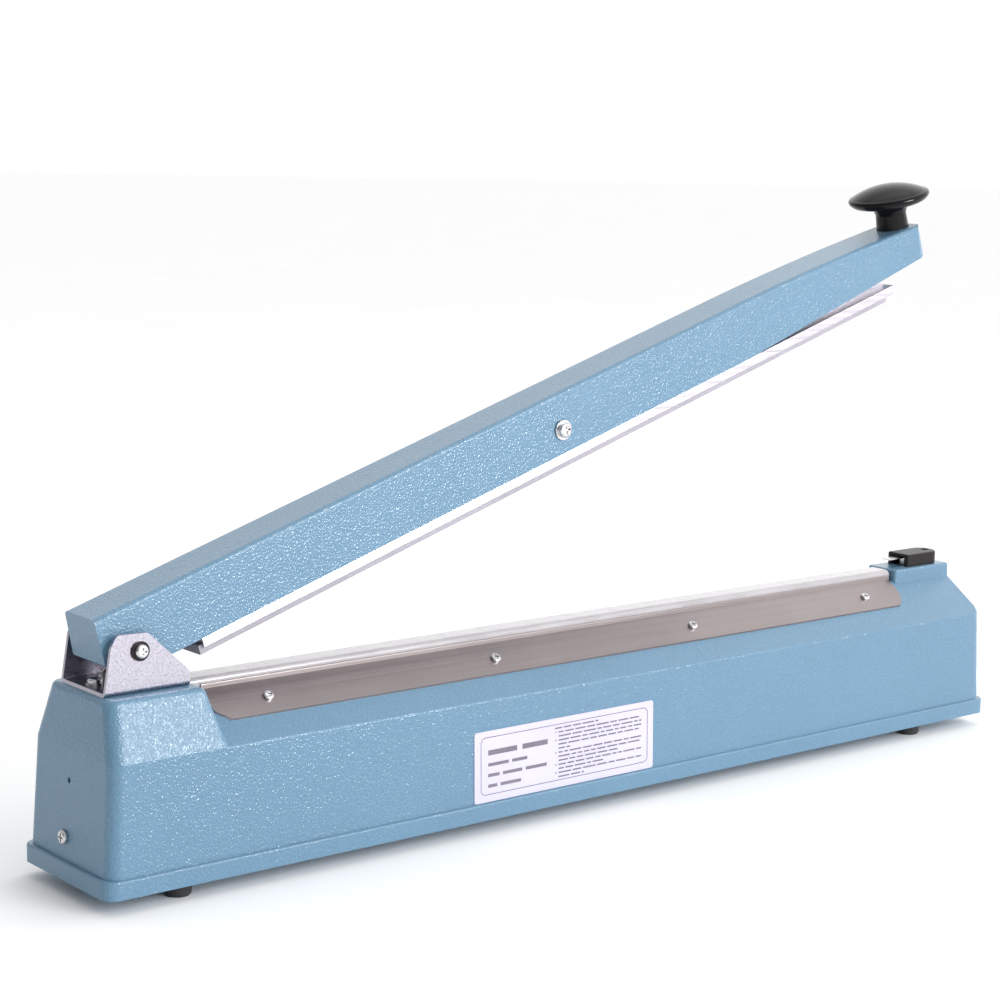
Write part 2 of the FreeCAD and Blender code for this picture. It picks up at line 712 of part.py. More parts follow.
def arm_outline(g):
    """The arm's side view as a wire, or the line that lies g inside it, open at the bottom."""
    tail = ARM_TAIL + g
    top = ARM_TOP - g
    tip_top = ARM_TIP_TOP - g
    end = ARM_END - g
    halfway = ARM_BEND + TAPER_RUN / 2
    corner_top = vec(arm_x(end - 5), 0, arm_z(tip_top))
    corner_mid = vec(arm_x(end - 1.2), 0, arm_z(tip_top - 1.6))
    corner_low = vec(arm_x(end), 0, arm_z(tip_top - 5))
    bend = vec(arm_x(ARM_BEND), 0, arm_z(top))
    crown = vec(arm_x(halfway), 0, arm_z(top - taper_drop(halfway)))
    edges = [
        Part.LineSegment(vec(arm_x(tail), 0, arm_z(top)), bend),
        Part.Arc(bend, crown, corner_top),
        Part.Arc(corner_top, corner_mid, corner_low),
    ]
    if g:
        low = [(end, ARM_TIP_BOTTOM - 20), (tail, ARM_BOTTOM - 20), (tail, top)]
        start = corner_low
    else:
        chin = vec(arm_x(end), 0, arm_z(ARM_TIP_BOTTOM + ARM_CHIN_R))
        start = vec(arm_x(end - ARM_CHIN_R), 0, arm_z(ARM_TIP_BOTTOM - 0.3))
        in_from_corner = ARM_CHIN_R * (1 - math.sqrt(0.5))
        chin_mid = vec(arm_x(end - in_from_corner), 0, arm_z(ARM_TIP_BOTTOM + in_from_corner - 0.1))
        edges.append(Part.LineSegment(corner_low, chin))
        edges.append(Part.Arc(chin, chin_mid, start))
        low = [(ARM_BEND, ARM_BOTTOM), (-7.0, ARM_BOTTOM), (ARM_TAIL - 2, -1.5), (tail, top)]
    for s, t in low:
        following = vec(arm_x(s), 0, arm_z(t))
        edges.append(Part.LineSegment(start, following))
        start = following
    return Part.Wire([edge.toShape() for edge in edges])


def arm_form(g):
    side = Part.Face(arm_outline(g)).extrude(vec(0, 60, 0)).translated(vec(0, -30, 0))
    slope = (ARM_BOTTOM_Y - ARM_TOP_Y) / (ARM_TOP - ARM_BOTTOM)
    top_y = ARM_TOP_Y - g + slope * g
    deep = 30.0
    low_y = ARM_BOTTOM_Y - g + slope * deep
    section = [
        (-top_y, arm_z(ARM_TOP - g)),
        (top_y, arm_z(ARM_TOP - g)),
        (low_y, arm_z(ARM_BOTTOM - deep)),
        (-low_y, arm_z(ARM_BOTTOM - deep)),
    ]
    body = side.common(prism_x(section, PIVOT_X - 40, PIVOT_X + ARM_END + 20))
    body = soften(body, ARM_RIM_R - g, is_arm_rim)
    half = ARM_BOTTOM_Y - g
    plan = slab(arm_x(-60), arm_x(ARM_END - g), -half, half, arm_z(-60), arm_z(60), ARM_NOSE_R - g)
    return body.common(plan)


def is_arm_rim(edge):
    """The arm's two long top edges."""
    middle = edge.CenterOfMass
    return abs(middle.y) > 12 and edge.Length > 100 and middle.z > arm_z(ARM_TIP_TOP - 1)


def arm_shell():
    """The pressed arm, a channel that is open underneath."""
    shell = arm_form(0.0).cut(arm_form(ARM_SHEET))
    holes = [
        rod(PIN_R + RUN, vec(PIVOT_X, -30, PIVOT_Z), BACK, 60),
        rod(M5_R + GAP, vec(arm_x(JAW_SCREW_S), -30, arm_z(JAW_SCREW_T)), BACK, 60),
        knob_placed(rod(4.0 + GAP, vec(0, 0, -20), UP, 40)),
    ]
    return shell.cut(group(holes))


def spring_seat():
    """A cross plate in the arm's tail: the spring pushes on it and the stop catches it."""
    reach = ARM_BOTTOM_Y - ARM_SHEET - 0.45
    return box(arm_x(-11.5), arm_x(26), -reach, reach, arm_z(SEAT_T), arm_z(SEAT_T + SEAT_SHEET))


def jaw_bar():
    """The aluminium bar: a flat foot with a groove for the silicone, and two webs up into the arm."""
    start, end = arm_x(JAW_START), arm_x(JAW_END)
    wings = box(start, end, -JAW_Y, JAW_Y, arm_z(JAW_BOTTOM), arm_z(JAW_TOP))
    wings = soften(wings, 0.5, lambda edge: lies_along(edge, ALONG, 400))
    groove_top = arm_z(JAW_BOTTOM + JAW_GROOVE)
    groove = box(start - 1, end + 1, -SILICONE_Y, SILICONE_Y, arm_z(JAW_BOTTOM - 1), groove_top)
    web_top = arm_z(7.0)
    webs = box(start, end, -5.4, 5.4, arm_z(JAW_TOP), web_top)
    webs = webs.cut(box(start - 1, end + 1, -3.4, 3.4, arm_z(JAW_TOP), web_top + 1))
    bar = wings.cut(groove).fuse(webs).removeSplitter()
    bore = rod(M5_R + RUN, vec(arm_x(JAW_SCREW_S), -30, arm_z(JAW_SCREW_T)), BACK, 60)
    return bar.cut(bore)


def silicone_strip():
    start, end = arm_x(SILICONE_START), arm_x(SILICONE_END)
    low = arm_z(SILICONE_BOTTOM)
    strip = box(start, end, -SILICONE_Y, SILICONE_Y, low, arm_z(JAW_BOTTOM + JAW_GROOVE))
    return soften(strip, 0.8, long_edges(low + 0.1, False))


def side_half_width(t):
    return ARM_TOP_Y + (ARM_BOTTOM_Y - ARM_TOP_Y) * (ARM_TOP - t) / (ARM_TOP - ARM_BOTTOM)


def jaw_screw():
    """The cross screw that carries the jaw bar at its middle."""
    y = side_half_width(JAW_SCREW_T) + JAW_WASHER_OFF + WASHER_H
    shape = screw(4.2, 2.6, 2.5, 2 * y + 5.5)
    return place(shape, vec(arm_x(JAW_SCREW_S), -y, arm_z(JAW_SCREW_T)), FRONT)


def jaw_washers():
    y = side_half_width(JAW_SCREW_T) + JAW_WASHER_OFF
    x, z = arm_x(JAW_SCREW_S), arm_z(JAW_SCREW_T)
    front = ring(5.6, 2.6, vec(x, -y - WASHER_H, z), BACK, WASHER_H)
    rear = ring(5.6, 2.6, vec(x, y, z), BACK, WASHER_H)
    return group([front, rear])


def jaw_nut():
    y = side_half_width(JAW_SCREW_T) + JAW_WASHER_OFF + WASHER_H
    nut = hex_nut(8.0, 4.0, 2.55)
    return place(nut, vec(arm_x(JAW_SCREW_S), y, arm_z(JAW_SCREW_T)), BACK)


def knob_placed(shape):
    """Stand a piece built on Z = 0 a hair above the sloping top of the arm's end."""
    seat = vec(arm_x(KNOB_S), 0, arm_z(ARM_TOP - taper_drop(KNOB_S)) + 0.05)
    tilt = math.asin((KNOB_S - ARM_BEND) / TAPER_R)
    return place(shape, seat, vec(math.sin(tilt), 0, math.cos(tilt)))


def handle_knob():
    """The mushroom knob with its bore, turned about its own axis; the dome is part of a sphere."""
    neck, bore = KNOB_NECK_R, KNOB_BORE_R
    rim, rim_z = KNOB_R - 2.0, KNOB_H - 6.0
    dome_r = (rim ** 2 + (KNOB_H - rim_z) ** 2) / (2 * (KNOB_H - rim_z))
    dome_mid = vec(rim / 2, 0, KNOB_H - dome_r + math.sqrt(dome_r ** 2 - rim ** 2 / 4))
    skirt, edge_out, edge_in = vec(19.0, 0, 15.2), vec(KNOB_R, 0, 19.2), vec(rim, 0, rim_z)
    outline = [
        Part.LineSegment(vec(bore, 0, 0), vec(neck + 0.6, 0, 0)),
        Part.LineSegment(vec(neck + 0.6, 0, 0), vec(neck, 0, 9.0)),
        Part.Arc(vec(neck, 0, 9.0), vec(neck + 2.4, 0, 13.2), skirt),
        Part.Arc(skirt, vec(KNOB_R - 1.9, 0, 16.6), edge_out),
        Part.Arc(edge_out, vec(KNOB_R - 0.5, 0, 20.6), edge_in),
        Part.Arc(edge_in, dome_mid, vec(0, 0, KNOB_H)),
        Part.LineSegment(vec(0, 0, KNOB_H), vec(0, 0, KNOB_BORE_H)),
        Part.LineSegment(vec(0, 0, KNOB_BORE_H), vec(bore, 0, KNOB_BORE_H)),
        Part.LineSegment(vec(bore, 0, KNOB_BORE_H), vec(bore, 0, 0)),
    ]
    face = Part.Face(Part.Wire([edge.toShape() for edge in outline]))
    return knob_placed(face.revolve(vec(0, 0, 0), UP, 360))


def knob_stud():
    """The stud that fills the knob's bore and takes the washer and nut under the arm's top."""
    return knob_placed(rod(KNOB_BORE_R, vec(0, 0, -STUD_DOWN), UP, STUD_DOWN + KNOB_BORE_H - 0.5))


def knob_washer():
    return knob_placed(ring(8.0, 4.1, vec(0, 0, -ARM_SHEET - 1.7), UP, 1.2))


def knob_nut():
    nut = hex_nut(13.0, 5.0, 4.0)
    return knob_placed(nut.translated(vec(0, 0, -ARM_SHEET - 6.8)))


# ---- switch ---------------------------------------------------------------------------------------

def switch_cap():
    """The black hood over the lever: open towards the jaw, round at its other end."""
    hood = slab(CAP_LEFT, CAP_RIGHT, -CAP_Y, CAP_Y, POST_Z, CAP_TOP, 1.2, CAP_END_R)
    hood = soften(hood, 1.0, lambda edge: edge.CenterOfMass.z > CAP_TOP - 0.1)
    mouth = box(CAP_LEFT - 1, CAP_RIGHT - 9.5, -5.4, 5.4, POST_Z - 1, CAP_TOP - 1.8)
    recess = rod(2.5, vec(CAP_SCREW_X, 0, CAP_TOP - 4), UP, 5)
    hole = rod(M2_R + GAP, vec(CAP_SCREW_X, 0, POST_Z - 1), UP, 10)
    return hood.cut(group([mouth, recess, hole, lever_pin()]))


def cap_screw():
    shape = screw(2.2, 1.5, M2_R, 8.5)
    return place(shape, vec(CAP_SCREW_X, 0, CAP_TOP - 4), UP)


def lever_pin():
    half = CAP_Y - 0.8
    return rod(0.8, vec(LEVER_PIVOT_X, -half, LEVER_PIVOT_Z), BACK, 2 * half)


def switch_lever():
    """The steel leaf that the jaw bar presses, with a boss on its pin and a heel over the plunger."""
    leaf = box(LEVER_TIP, LEVER_PIVOT_X, -3.0, 3.0, LEVER_TOP - LEVER_SHEET, LEVER_TOP)
    boss = rod(1.7, vec(LEVER_PIVOT_X, -3.0, LEVER_PIVOT_Z), BACK, 6.0)
    heel = box(PLUNGER_X - 1.0, PLUNGER_X + 1.0, -2.0, 2.0, HEEL_Z, LEVER_TOP - LEVER_SHEET / 2)
    heel = soften(heel, 0.5, lambda edge: edge.CenterOfMass.z < HEEL_Z + 0.1 and lies_along(edge, BACK))
    lever = leaf.fuse([boss, heel]).removeSplitter()
    return lever.cut(rod(0.8 + RUN, vec(LEVER_PIVOT_X, -5, LEVER_PIVOT_Z), BACK, 10))


def microswitch_body():
    """The snap switch under the top of the post, with its three tabs."""
    body = box(272.0, 299.8, -SWITCH_Y, SWITCH_Y, SWITCH_FOOT, SWITCH_TOP)
    slot = box(PLUNGER_X - 1.6, PLUNGER_X + 1.6, -2.1, 2.1, 93.0, SWITCH_TOP + 1)
    holes = [rod(1.55, vec(x, -8, z), BACK, 16) for x, z in SWITCH_SCREWS]
    tabs = [box(x, x + 0.8, -2.4, 2.4, SWITCH_FOOT - 5.6, SWITCH_FOOT) for x in TAB_X]
    return body.cut(slot).cut(group(holes)).fuse(tabs)


def microswitch_plunger():
    return box(PLUNGER_X - 1.5, PLUNGER_X + 1.5, -2.0, 2.0, 94.5, HEEL_Z - 0.1)


def microswitch_bracket():
    """A strip bent under the switch and up to the housing's post, on the switch's two screws."""
    strip = box(270.0, 302.0, 5.2, 6.4, 80.0, POST_Z - WALL - 0.1)
    foot = box(270.0, 302.0, 6.4, 8.9, POST_Z - WALL - 1.3, POST_Z - WALL - 0.1)
    holes = [rod(1.55, vec(x, 0, z), BACK, 10) for x, z in SWITCH_SCREWS]
    return strip.fuse(foot).removeSplitter().cut(group(holes))


def microswitch_screws():
    shape = screw(2.6, 1.6, 1.45, 13.5)
    return group([place(shape, vec(x, -SWITCH_Y, z), FRONT) for x, z in SWITCH_SCREWS])


# ---- electrics in the base ------------------------------------------------------------------------

def transformer_core():
    """The laminated stack on its feet, with two windows for the windings."""
    z0 = FLOOR_TOP + 1.6
    core = box(CORE_X - CORE_HALF_X, CORE_X + CORE_HALF_X, -CORE_HALF_Y, CORE_HALF_Y, z0, z0 + CORE_H)
    window = 15.0
    leg = 14.0
    for side in (-1, 1):
        near = CORE_X + side * leg
        far = near + side * window
        core = core.cut(box(min(near, far), max(near, far), -30, 30, z0 + 13, z0 + CORE_H - 9))
    return core


def transformer_coil():
    """The windings on their bobbin around the middle leg."""
    z0 = FLOOR_TOP + 1.6 + 13
    height = CORE_H - 22
    outer = slab(CORE_X - 28.5, CORE_X + 28.5, -33, 33, z0 + 0.3, z0 + height - 0.3, 6.0)
    return outer.cut(box(CORE_X - 14.3, CORE_X + 14.3, -20.3, 20.3, z0 - 1, z0 + height + 1))


def transformer_frame():
    """The strap over the stack, with an ear each side for its screw."""
    z0 = FLOOR_TOP
    top = z0 + 1.6 + CORE_H
    y = 15.0
    strap = box(CORE_X - CORE_HALF_X - 1.4, CORE_X + CORE_HALF_X + 1.4, -y, y, z0, top + 1.4)
    half = CORE_HALF_X + 0.1
    strap = strap.cut(box(CORE_X - half, CORE_X + half, -30, 30, z0 - 1, top + 0.1))
    ears = []
    for side in (-1, 1):
        near = CORE_X + side * half
        far = CORE_X + side * (CORE_SPREAD + 6)
        ears.append(box(min(near, far), max(near, far), -y, y, z0, z0 + 1.4))
    frame = strap.fuse(ears).removeSplitter()
    return frame.cut(group([rod(1.6, vec(x, yy, z0 - 1), UP, 5) for x, yy in CORE_EARS]))


def transformer_base():
    """The insulating sheet between the stack and the tray."""
    return box(CORE_X - CORE_HALF_X, CORE_X + CORE_HALF_X, -30, 30, FLOOR_TOP, FLOOR_TOP + 1.5)


def floor_screws():
    """Screws up through the tray into the transformer's ears and the board's pillars."""
    shape = screw(3.0, 1.8, M3_R, 5.0)
    return group([place(shape, vec(x, y, FOOT_H), DOWN) for x, y in FLOOR_SCREWS])


def board_pillars():
    return group([ring(3.2, 1.6, vec(x, y, FLOOR_TOP), UP, PILLAR_TOP - FLOOR_TOP) for x, y in BOARD_FEET])


def board_screws():
    shape = screw(2.8, 1.6, M3_R, 5.5)
    return group([place(shape, vec(x, y, PILLAR_TOP + BOARD_T), UP) for x, y in BOARD_FEET])


def timer_board():
    board = box(BOARD_X - 38, BOARD_X + 38, -22, 22, PILLAR_TOP, PILLAR_TOP + BOARD_T)
    return board.cut(group([rod(1.6, vec(x, y, 15), UP, 15) for x, y in BOARD_FEET]))


def board_parts():
    """The relay, the capacitors, the triac with its fin and the plug strip on the board."""
    z = PILLAR_TOP + BOARD_T
    relay = box(BOARD_X - 26, BOARD_X - 7, -8, 8, z, z + 16)
    caps = [rod(5.0, vec(BOARD_X + 4, -8, z), UP, 13), rod(4.0, vec(BOARD_X + 4, 7, z), UP, 11)]
    fin = box(BOARD_X + 16, BOARD_X + 18, -12, 12, z, z + 22)
    strip = box(BOARD_X + 22, BOARD_X + 29, -13, 13, z, z + 9)
    return group([relay, fin, strip] + caps)


def timer_control():
    """The timing potentiometer behind the back wall, with its threaded neck."""
    inside = -WALL - 0.2
    seat = back_point(DIAL_X, DIAL_Z, inside)
    can = ring(8.0, 1.6, vec(0, 0, -4.2), UP, 4.2)
    neck = ring(3.5, 1.6, vec(0, 0, 0), UP, 6.0)
    return place(can.fuse(neck), seat, back_normal())


def dial_plate():
    """The round scale plate under the dial, with a raised rim."""
    base = ring(19.0, 4.0, vec(0, 0, 0.1), UP, 0.9)
    rim = ring(19.0, 18.0, vec(0, 0, 1.0), UP, 0.5)
    return place(base.fuse(rim).removeSplitter(), back_point(DIAL_X, DIAL_Z), back_normal())


def timer_dial():
    """The dial with its skirt, ribs and pointer, on the control's shaft."""
    profile = [(0, 3.6), (0, 11.4), (DIAL_R - 5.2, 11.4), (DIAL_R - 4.2, 10.6), (DIAL_R - 3.2, 4.2)]
    profile += [(DIAL_R, 3.4), (DIAL_R, 1.9), (5.0, 1.9), (5.0, 3.6)]
    dial = turned(profile)
    ribs = []
    for k in range(20):
        turn = math.radians(18 * k)
        r = DIAL_R - 3.9
        ribs.append(rod(0.75, vec(r * math.cos(turn), r * math.sin(turn), 4.0), UP, 6.2))
    pointer = box(-0.7, 0.7, 1.0, DIAL_R - 1.5, 10.6, 11.9)
    pointer = pointer.cut(box(-1, 1, DIAL_R - 5.2, DIAL_R, 10, 13))
    shaft = rod(1.5, vec(0, 0, -3.5), UP, 8.0)
    dial = dial.fuse(ribs + [pointer, shaft]).removeSplitter()
    return place(dial, back_point(DIAL_X, DIAL_Z), back_normal())


def indicator_lamp():
    """A red lens in a flange, with its body behind the wall."""
    inside = [(0, -16), (3.6, -16), (3.6, -3), (4, -3), (4, 0.1)]
    lens = [(5.8, 0.1), (5.8, 1.2), (4.2, 1.6), (3.4, 3.4), (1.8, 4.4), (0, 4.7)]
    return place(turned(inside + lens), back_point(LAMP_X, DIAL_Z), back_normal())


def fuse_holder():
    """The fuse carrier with its slotted cap."""
    inside = [(0, -30), (5, -30), (5, -3), (6, -3), (6, 0.1)]
    cap = [(8, 0.1), (8, 1.8), (6.2, 2.2), (6, 7.6), (5.4, 8.2), (0, 8.2)]
    slot = box(-7, 7, -0.7, 0.7, 6.6, 9)
    return place(turned(inside + cap).cut(slot), back_point(FUSE_X, INLET_Z), back_normal())


def cord_inlet():
    """The bush in the back wall that the supply lead passes through."""
    r = INLET_BORE_R
    behind = -WALL - 0.1
    inside = [(r, -7), (7.6, -7), (7.6, behind), (6, behind), (6, 0.1)]
    flange = [(8.2, 0.1), (8.2, 1.4), (6.6, 2.6), (r, 2.6)]
    return place(turned(inside + flange), back_point(INLET_X, INLET_Z), back_normal())


def rating_label():
    """A thin plate on the front wall."""
    face = slab(0, LABEL_RIGHT - LABEL_LEFT, 0, LABEL_H, 0, 0.4, 1.5)
    stand = face.rotated(vec(0, 0, 0), ALONG, 90 - math.degrees(LEAN))
    y = -(SILL_Y - (LABEL_Z - SILL_Z) * math.tan(LEAN))
    return stand.translated(vec(LABEL_LEFT, y - 0.02, LABEL_Z))


def wiring():
    """Insulated leads between the inlet, board, transformer, terminals and switch."""
    low = 71.8
    left, right = TERMINAL_X
    coil_left, coil_right = CORE_X - 28.6, CORE_X + 28.6
    relay, strip = BOARD_X - 26.1, BOARD_X + 29.1
    tab = TAB_X[1] + 0.4
    supply = [vec(INLET_X, 30.5, INLET_Z), vec(INLET_X, 10, INLET_Z), vec(-212, -26, 18), vec(-20, -26, 18)]
    runs = [
        [vec(left, 0, low), vec(left, 0, 60), vec(left + 22, -27, 42), vec(coil_left, -27, 42)],
        [vec(right, 0, low), vec(right, 0, 60), vec(right - 22, 9, 40), vec(110, 9, 28), vec(strip, 9, 28)],
        [vec(tab, 0, 76.3), vec(tab, 0, 58), vec(tab - 24, -8, 36), vec(110, -8, 28), vec(strip, -8, 28)],
        supply + [vec(-4, -6, 28), vec(relay, -6, 28)],
        [vec(coil_right, -27, 42), vec(-60, -27, 42), vec(-32, 3, 34), vec(relay, 3, 34)],
    ]
    return group([wire_run(points, LEAD_R, LEAD_BEND) for points in runs])


# ---- export ---------------------------------------------------------------------------------------

FIXED = {
    "base_housing": base_housing,
    "bottom_tray": bottom_tray,
    "rubber_feet": rubber_feet,
    "foot_screws": foot_screws,
    "end_screws": end_screws,
    "seal_bed": seal_bed,
    "bed_insulator": bed_insulator,
    "heating_element": heating_element,
    "ptfe_cloth": ptfe_cloth,
    "front_plate": lambda: clamp_plate(-1),
    "rear_plate": lambda: clamp_plate(1),
    "plate_screws": plate_screws,
    "terminal_posts": terminal_posts,
    "terminal_sleeves": terminal_sleeves,
    "hinge_bracket": hinge_bracket,
    "bracket_screws": bracket_screws,
    "bracket_washers": bracket_washers,
    "hinge_pin": hinge_pin,
    "hinge_screws": hinge_screws,
    "hinge_washers": hinge_washers,
    "hinge_spacers": hinge_spacers,
    "return_spring": return_spring,
    "stop_bumper": stop_bumper,
    "switch_cap": switch_cap,
    "cap_screw": cap_screw,
    "lever_pin": lever_pin,
    "switch_lever": switch_lever,
    "microswitch_body": microswitch_body,
    "microswitch_plunger": microswitch_plunger,
    "microswitch_bracket": microswitch_bracket,
    "microswitch_screws": microswitch_screws,
    "transformer_core": transformer_core,
    "transformer_coil": transformer_coil,
    "transformer_frame": transformer_frame,
    "transformer_base": transformer_base,
    "floor_screws": floor_screws,
    "board_pillars": board_pillars,
    "board_screws": board_screws,
    "timer_board": timer_board,
    "board_parts": board_parts,
    "timer_control": timer_control,
    "dial_plate": dial_plate,
    "timer_dial": timer_dial,
    "indicator_lamp": indicator_lamp,
    "fuse_holder": fuse_holder,
    "cord_inlet": cord_inlet,
    "rating_label": rating_label,
    "wiring": wiring,
}

SWINGING = {
    "arm_shell": arm_shell,
    "spring_seat": spring_seat,
    "jaw_bar": jaw_bar,
    "silicone_strip": silicone_strip,
    "jaw_screw": jaw_screw,
    "jaw_washers": jaw_washers,
    "jaw_nut": jaw_nut,
    "handle_knob": handle_knob,
    "knob_stud": knob_stud,
    "knob_washer": knob_washer,
    "knob_nut": knob_nut,
}


def export(name, shape):
    shape = shape.translated(vec(0, -MID_Y, 0))
    if not shape.isValid():
        print("not valid:", name)
    shape.exportStep("parts/" + name + ".step")


def main():
    os.makedirs("parts", exist_ok=True)
    for name, build in FIXED.items():
        export(name, build())
    for name, build in SWINGING.items():
        export(name, opened(build()))


main()
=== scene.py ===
"""Looks for the impulse heat sealer: studio, materials, printed marks, bed cloth and return spring."""

import json
import math

import bmesh
import bpy
from mathutils import Matrix, Vector


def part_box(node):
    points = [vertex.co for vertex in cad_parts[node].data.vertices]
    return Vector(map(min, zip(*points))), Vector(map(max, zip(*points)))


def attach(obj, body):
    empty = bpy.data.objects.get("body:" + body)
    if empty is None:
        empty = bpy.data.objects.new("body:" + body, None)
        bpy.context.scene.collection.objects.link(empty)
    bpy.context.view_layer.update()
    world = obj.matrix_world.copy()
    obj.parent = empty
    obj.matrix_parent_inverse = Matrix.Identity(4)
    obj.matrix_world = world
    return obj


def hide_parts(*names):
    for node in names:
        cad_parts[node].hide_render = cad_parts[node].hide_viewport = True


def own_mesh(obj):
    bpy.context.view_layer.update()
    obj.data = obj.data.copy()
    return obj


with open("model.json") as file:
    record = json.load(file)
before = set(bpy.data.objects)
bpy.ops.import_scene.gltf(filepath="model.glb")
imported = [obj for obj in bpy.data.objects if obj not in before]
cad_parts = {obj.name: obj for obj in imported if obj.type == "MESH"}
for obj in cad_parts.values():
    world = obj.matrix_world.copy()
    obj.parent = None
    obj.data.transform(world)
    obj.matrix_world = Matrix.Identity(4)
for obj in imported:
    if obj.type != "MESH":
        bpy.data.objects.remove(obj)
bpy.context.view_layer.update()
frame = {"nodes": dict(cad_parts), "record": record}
NODES = frame["nodes"]
MM = 0.001


# ---- studio -----------------------------------------------------------------------------------------

CAMERA_AT = Vector((-0.8536, -0.9969, 0.3785))
CAMERA_YAW = math.radians(39.02)      # from +Y towards +X
CAMERA_PITCH = math.radians(-9.16)
CAMERA_ROLL = math.radians(0.97)
LENS_MM = 84.87
SENSOR_MM = 36.0
FAR_CLIP = 50.0                       # metres
WORLD_DIM = 0.17                      # strength of the light from the hinge side
WORLD_BRIGHT = 1.82                   # and from the knob side
WORLD_SEEN = 1.1                      # strength that the camera sees behind the object

# name, place, aim, size in metres, watts
KEY_SOFTBOX = ("key_softbox", (0.45, -1.85, 0.90), (-0.15, 0.0, 0.10), (1.1, 1.1), 26.0)
TOP_SOFTBOX = ("top_softbox", (0.4, 0.5, 2.2), (0.1, 0.0, 0.0), (1.4, 1.0), 3.0)
GLINT_SOFTBOX = ("glint_softbox", (0.50, -1.55, 0.66), (-0.25, 0.0, 0.10), (0.5, 0.4), 21.0)
FLOOR_RADIUS = 14.0
FLOOR_DARK = (0.95, 0.95, 0.952)
FLOOR_LIGHT = (0.965, 0.965, 0.966)


def make_camera():
    forward = Vector((
        math.sin(CAMERA_YAW) * math.cos(CAMERA_PITCH),
        math.cos(CAMERA_YAW) * math.cos(CAMERA_PITCH),
        math.sin(CAMERA_PITCH),
    ))
    level = Vector((math.cos(CAMERA_YAW), -math.sin(CAMERA_YAW), 0.0))
    upright = level.cross(forward)
    right = level * math.cos(CAMERA_ROLL) + upright * math.sin(CAMERA_ROLL)
    up = upright * math.cos(CAMERA_ROLL) - level * math.sin(CAMERA_ROLL)
    data = bpy.data.cameras.new("photo_camera")
    data.lens = LENS_MM
    data.sensor_width = SENSOR_MM
    data.clip_end = FAR_CLIP
    camera = bpy.data.objects.new("photo_camera", data)
    axes = Matrix((right, up, -forward)).transposed().to_4x4()
    camera.matrix_world = Matrix.Translation(CAMERA_AT) @ axes
    bpy.context.scene.collection.objects.link(camera)
    bpy.context.scene.camera = camera


def area_light(name, at, aim, size, power):
    data = bpy.data.lights.new(name, "AREA")
    data.shape = "RECTANGLE"
    data.size, data.size_y = size
    data.energy = power
    light = bpy.data.objects.new(name, data)
    light.location = at
    light.rotation_euler = (Vector(aim) - Vector(at)).to_track_quat("-Z", "Y").to_euler()
    bpy.context.scene.collection.objects.link(light)
    return light


def make_world():
    """White to the camera; as light it is dimmer on the hinge side than on the knob side."""
    world = bpy.data.worlds.new("studio_air")
    world.use_nodes = True
    tree = world.node_tree
    background = tree.nodes["Background"]
    split = tree.nodes.new("ShaderNodeSeparateXYZ")
    tree.links.new(tree.nodes.new("ShaderNodeTexCoord").outputs["Generated"], split.inputs["Vector"])
    slope = tree.nodes.new("ShaderNodeMapRange")
    slope.inputs["From Min"].default_value = -1.0
    slope.inputs["From Max"].default_value = 1.0
    slope.inputs["To Min"].default_value = WORLD_DIM
    slope.inputs["To Max"].default_value = WORLD_BRIGHT
    tree.links.new(split.outputs["X"], slope.inputs["Value"])
    seen = tree.nodes.new("ShaderNodeMix")
    seen.inputs["B"].default_value = WORLD_SEEN
    tree.links.new(tree.nodes.new("ShaderNodeLightPath").outputs["Is Camera Ray"], seen.inputs["Factor"])
    tree.links.new(slope.outputs["Result"], seen.inputs["A"])
    tree.links.new(seen.outputs["Result"], background.inputs["Strength"])
    background.inputs["Color"].default_value = (1.0, 1.0, 1.0, 1.0)
    bpy.context.scene.world = world


def make_floor():
    mesh = bpy.data.meshes.new("studio_floor")
    form = bmesh.new()
    bmesh.ops.create_circle(form, cap_ends=True, segments=96, radius=FLOOR_RADIUS)
    form.to_mesh(mesh)
    form.free()
    floor = bpy.data.objects.new("studio_floor", mesh)
    bpy.context.scene.collection.objects.link(floor)
    pale, tree, shader = new_material("floor_paper")
    grain = noise(tree, position(tree), 6.0, 2.0)
    colour_between(tree, shader, grain, FLOOR_DARK, FLOOR_LIGHT)
    shader.inputs["Roughness"].default_value = 0.9
    mesh.materials.append(pale)


def make_studio():
    make_world()
    bpy.context.scene.view_settings.view_transform = "Standard"
    area_light(*KEY_SOFTBOX)
    area_light(*TOP_SOFTBOX)
    glints = area_light(*GLINT_SOFTBOX)
    glints.visible_diffuse = False
    make_floor()


# ---- material helpers -------------------------------------------------------------------------------

def new_material(name):
    material = bpy.data.materials.new(name)
    material.use_nodes = True
    tree = material.node_tree
    return material, tree, tree.nodes["Principled BSDF"]


def position(tree, stretch=(1.0, 1.0, 1.0)):
    """The point on the surface in metres, stretched for a pattern with a direction."""
    source = tree.nodes.new("ShaderNodeTexCoord")
    mapping = tree.nodes.new("ShaderNodeMapping")
    mapping.inputs["Scale"].default_value = stretch
    tree.links.new(source.outputs["Object"], mapping.inputs["Vector"])
    return mapping.outputs["Vector"]


def noise(tree, vector, scale, detail, roughness=0.5):
    node = tree.nodes.new("ShaderNodeTexNoise")
    node.inputs["Scale"].default_value = scale
    node.inputs["Detail"].default_value = detail
    node.inputs["Roughness"].default_value = roughness
    tree.links.new(vector, node.inputs["Vector"])
    return node.outputs["Fac"]


def cells(tree, vector, scale, smooth):
    """Rounded cells, low in the middle of each and high along the rims between them."""
    node = tree.nodes.new("ShaderNodeTexVoronoi")
    node.feature = "SMOOTH_F1"
    node.inputs["Scale"].default_value = scale
    node.inputs["Smoothness"].default_value = smooth
    tree.links.new(vector, node.inputs["Vector"])
    return node.outputs["Distance"]


